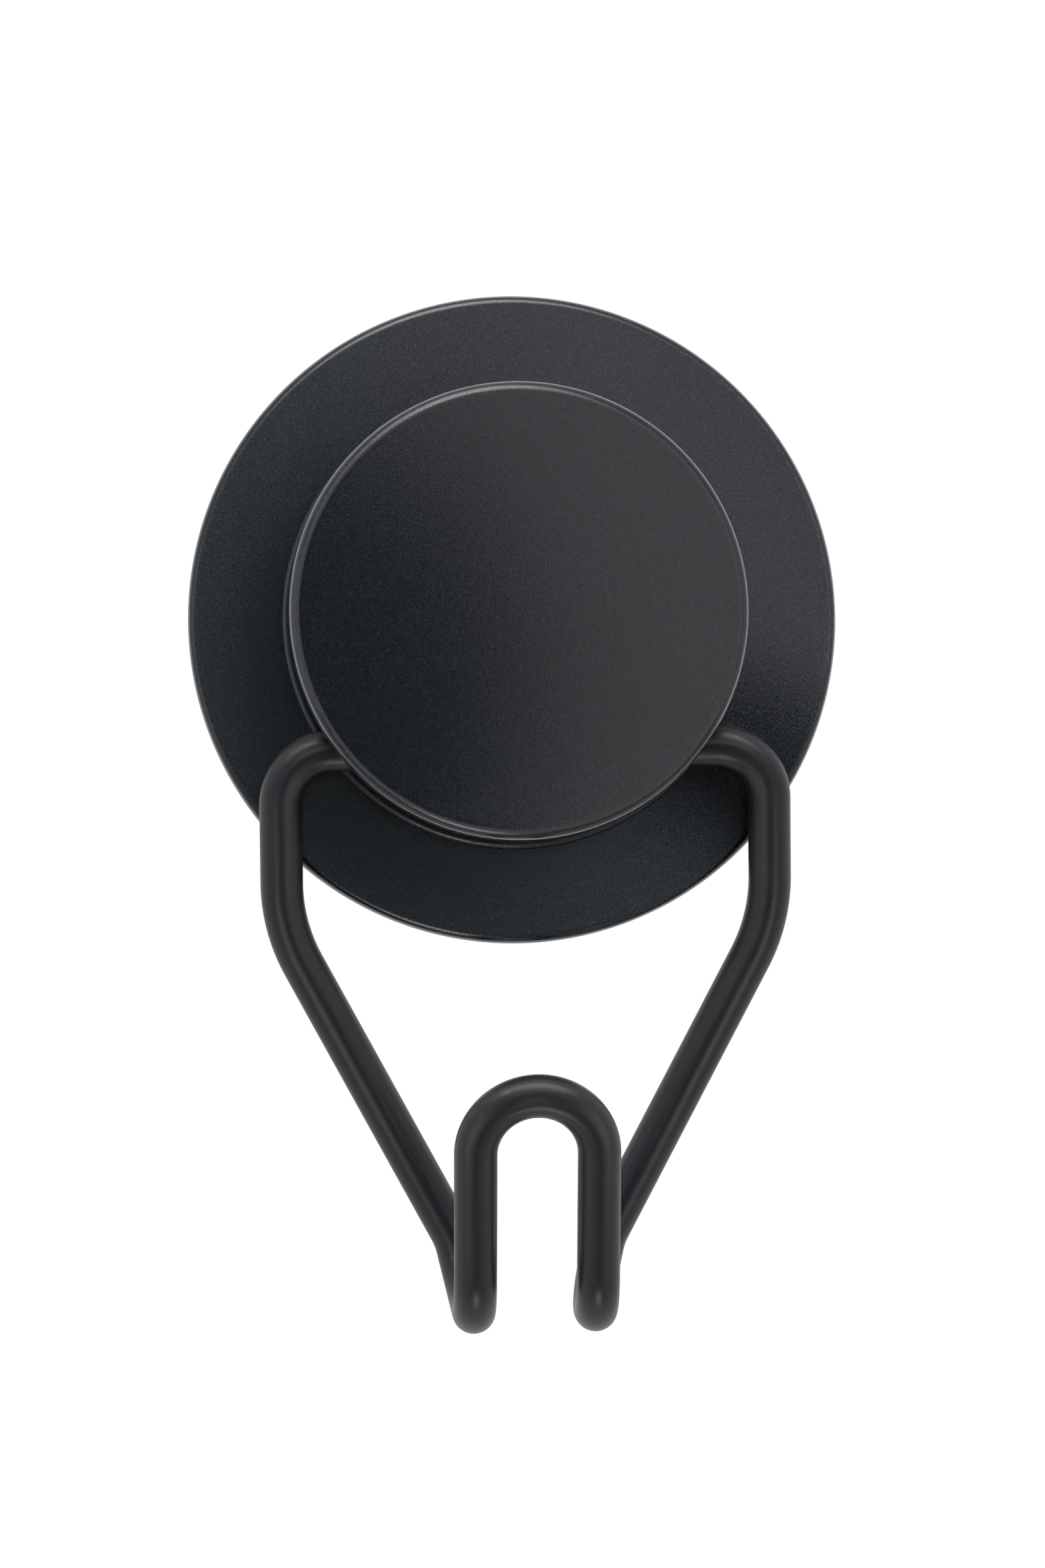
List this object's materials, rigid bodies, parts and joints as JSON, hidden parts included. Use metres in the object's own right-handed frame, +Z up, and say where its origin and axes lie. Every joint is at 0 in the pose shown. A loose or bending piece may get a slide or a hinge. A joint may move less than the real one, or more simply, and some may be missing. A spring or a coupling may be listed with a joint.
{
  "type": "magnetic swing hook",
  "caption": "Round black magnetic base with a hub that turns on it and a bent wire hook that swings from the hub, for hanging things from a steel surface.",
  "frame": {"origin": "centre of the magnetic face", "axes": "+Y out of the magnetic face, into the surface the part sticks to; the front looks towards -Y; +Z up, the hook hanging down; +X to the right seen from the front"},
  "size_m": [0.076, 0.0305, 0.121],
  "materials": {
    "black_powder_coat": "fine-grained powder coat",
    "black_wire_coat": "smooth satin coat",
    "plain_steel": "zinc plated",
    "magnet_nickel": "nickel plated",
    "grip_rubber": "matt",
    "spacer_plastic": "matt",
    "bush_plastic": "matt",
    "nut_nylon": "gloss"
  },
  "bodies": {
    "base": {"grip_pad": "grip_rubber", "magnet_cup": "plain_steel", "ring_magnet": "magnet_nickel", "pole_core": "plain_steel", "outer_spacer_ring": "spacer_plastic", "inner_spacer_ring": "spacer_plastic", "base_cover": "black_powder_coat", "cover_screws": "plain_steel", "swivel_stud": "plain_steel", "thrust_washer": "spacer_plastic", "spring_washer": "plain_steel", "flat_washer": "plain_steel", "lock_nut": "plain_steel", "lock_nut_insert": "nut_nylon"},
    "hub": {"hub_body": "black_powder_coat", "hub_cap": "black_powder_coat", "pivot_bush_left": "bush_plastic", "pivot_bush_right": "bush_plastic"},
    "hook": {"hook_wire": "black_wire_coat", "retaining_clip_left": "plain_steel", "retaining_clip_right": "plain_steel"}
  },
  "joints": [
    {"name": "hub_swivel", "type": "hinge", "parent": "base", "child": "hub", "pos_m": [0, 0, 0], "axis": [0, 1, 0], "continuous": true},
    {"name": "hook_swing", "type": "hinge", "parent": "hub", "child": "hook", "pos_m": [0, -0.01445, -0.0154], "axis": [-1, 0, 0], "range_deg": [-3, 130]}
  ]
}
